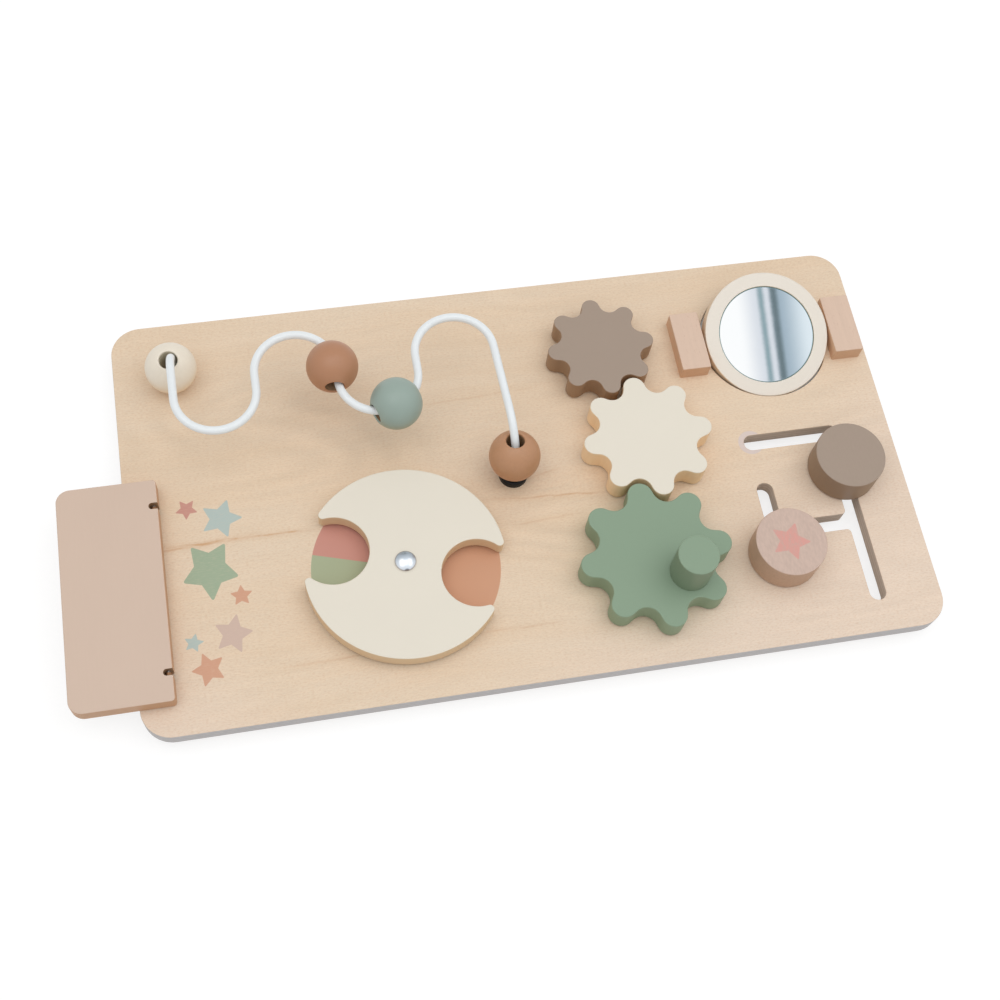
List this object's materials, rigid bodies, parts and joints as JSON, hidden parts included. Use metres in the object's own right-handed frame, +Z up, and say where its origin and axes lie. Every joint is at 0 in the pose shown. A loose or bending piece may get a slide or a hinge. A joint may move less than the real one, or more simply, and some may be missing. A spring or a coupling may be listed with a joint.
{
  "type": "wooden busy board",
  "caption": "Flat wooden activity board on feet with a hinged door, a bead wire, a spinner, meshing gears, a tilting mirror and knobs that slide in slots.",
  "frame": {"origin": "on the table, under the middle of the whole box, with the door open to the left", "axes": "+X along the board's long side, away from the open door; +Y to the far side; +Z up"},
  "size_m": [0.4848, 0.25, 0.0706],
  "materials": {
    "birch_plywood": "satin",
    "beech": "satin",
    "blush_paint": "satin",
    "cream_paint": "satin",
    "sage_paint": "satin",
    "taupe_paint": "satin",
    "pink_paint": "satin",
    "brown_paint": "satin",
    "pale_sage_paint": "satin",
    "tan_paint": "satin",
    "white_enamel": "gloss",
    "zinc_steel": "satin",
    "dark_steel": "satin",
    "chrome": "polished",
    "brass": "satin",
    "mirror_glass": "polished",
    "black_rubber": "matte",
    "grey_rubber": "matte",
    "white_nylon": "satin"
  },
  "bodies": {
    "panel": {"board": "birch_plywood", "rubber_feet": "grey_rubber", "foot_screws": "zinc_steel", "door_hinge_eyes": "dark_steel", "spinner_bush": "white_nylon", "spinner_bolt": "chrome", "spinner_washer": "zinc_steel", "spinner_nut": "zinc_steel", "gear_bushes": "white_nylon", "mirror_block_left": "beech", "mirror_block_right": "beech", "mirror_pivot_pins": "zinc_steel", "mirror_block_screws": "zinc_steel", "bead_wire": "white_enamel", "wire_grommet": "black_rubber", "wire_washers": "zinc_steel", "wire_nuts": "zinc_steel"},
    "door": {"door_panel": "blush_paint", "door_hinge_pins": "zinc_steel"},
    "spinner": {"spinner_disc": "cream_paint"},
    "large_gear": {"gear_large": "sage_paint", "gear_large_insert": "brass", "gear_large_washer": "zinc_steel", "gear_large_screw": "zinc_steel", "gear_large_peg": "sage_paint"},
    "middle_gear": {"gear_middle": "cream_paint", "gear_middle_insert": "brass", "gear_middle_washer": "zinc_steel", "gear_middle_screw": "zinc_steel"},
    "small_gear": {"gear_small": "taupe_paint", "gear_small_insert": "brass", "gear_small_washer": "zinc_steel", "gear_small_screw": "zinc_steel"},
    "mirror": {"mirror_ring": "cream_paint", "mirror_glass": "mirror_glass"},
    "taupe_slider": {"taupe_slider_bush": "white_nylon", "taupe_slider_retainer": "zinc_steel"},
    "taupe_top": {"taupe_knob": "taupe_paint", "taupe_knob_screw": "zinc_steel"},
    "pink_slider": {"pink_slider_bush": "white_nylon", "pink_slider_retainer": "zinc_steel"},
    "pink_top": {"pink_knob": "pink_paint", "pink_knob_screw": "zinc_steel"},
    "cream_bead": {"bead_cream": "cream_paint"},
    "brown_bead": {"bead_brown": "brown_paint"},
    "green_bead": {"bead_green": "pale_sage_paint"},
    "tan_bead": {"bead_tan": "tan_paint"}
  },
  "joints": [
    {"name": "door_hinge", "type": "hinge", "parent": "panel", "child": "door", "pos_m": [-0.1904, -0.0442, 0.0238], "axis": [0, 1, 0], "range_deg": [0, 180]},
    {"name": "spinner_spin", "type": "hinge", "parent": "panel", "child": "spinner", "pos_m": [-0.0578, -0.0491, 0.02], "axis": [0, 0, 1], "continuous": true},
    {"name": "large_gear_spin", "type": "hinge", "parent": "panel", "child": "large_gear", "pos_m": [0.0808, -0.0662, 0.019], "axis": [0, 0, 1], "continuous": true},
    {"name": "middle_gear_spin", "type": "hinge", "parent": "panel", "child": "middle_gear", "pos_m": [0.0921, 0.00678, 0.019], "axis": [0, 0, 1], "continuous": true},
    {"name": "small_gear_spin", "type": "hinge", "parent": "panel", "child": "small_gear", "pos_m": [0.07688, 0.06875, 0.019], "axis": [0, 0, 1], "continuous": true},
    {"name": "mirror_tilt", "type": "hinge", "parent": "panel", "child": "mirror", "pos_m": [0.1809, 0.0685, 0.023], "axis": [1, 0, 0], "range_deg": [-46.5, 9.5]},
    {"name": "taupe_knob_slide", "type": "slide", "parent": "panel", "child": "taupe_slider", "axis": [0, 1, 0], "range_m": [-0.0778, 0.0245]},
    {"name": "taupe_knob_spin", "type": "hinge", "parent": "taupe_slider", "child": "taupe_top", "pos_m": [0.2056, -0.0237, 0.019], "axis": [0, 0, 1], "continuous": true},
    {"name": "pink_knob_slide", "type": "slide", "parent": "panel", "child": "pink_slider", "axis": [0, 1, 0], "range_m": [0, 0.0408]},
    {"name": "pink_knob_spin", "type": "hinge", "parent": "pink_slider", "child": "pink_top", "pos_m": [0.1569, -0.0715, 0.019], "axis": [0, 0, 1], "continuous": true},
    {"name": "cream_bead_spin", "type": "hinge", "parent": "panel", "child": "cream_bead", "pos_m": [-0.1732, 0.0875, 0.03247], "axis": [0, -0.165, 0.9863], "continuous": true},
    {"name": "brown_bead_travel", "type": "hinge", "parent": "panel", "child": "brown_bead", "pos_m": [-0.10365, 0.0635, 0.056], "axis": [0, 0, 1], "range_deg": [0, 181.5]},
    {"name": "green_bead_travel", "type": "hinge", "parent": "panel", "child": "green_bead", "pos_m": [-0.05835, 0.0542, 0.056], "axis": [0, 0, 1], "range_deg": [-53, 68.5]},
    {"name": "tan_bead_climb", "type": "hinge", "parent": "panel", "child": "tan_bead", "pos_m": [0.01136, 0.02378, 0.032], "axis": [-0.999, -0.0436, 0], "range_deg": [0, 76]}
  ],
  "couplings": [
    {"joint": "middle_gear_spin", "follows": "large_gear_spin", "ratio": -1},
    {"joint": "small_gear_spin", "follows": "large_gear_spin", "ratio": 1}
  ]
}
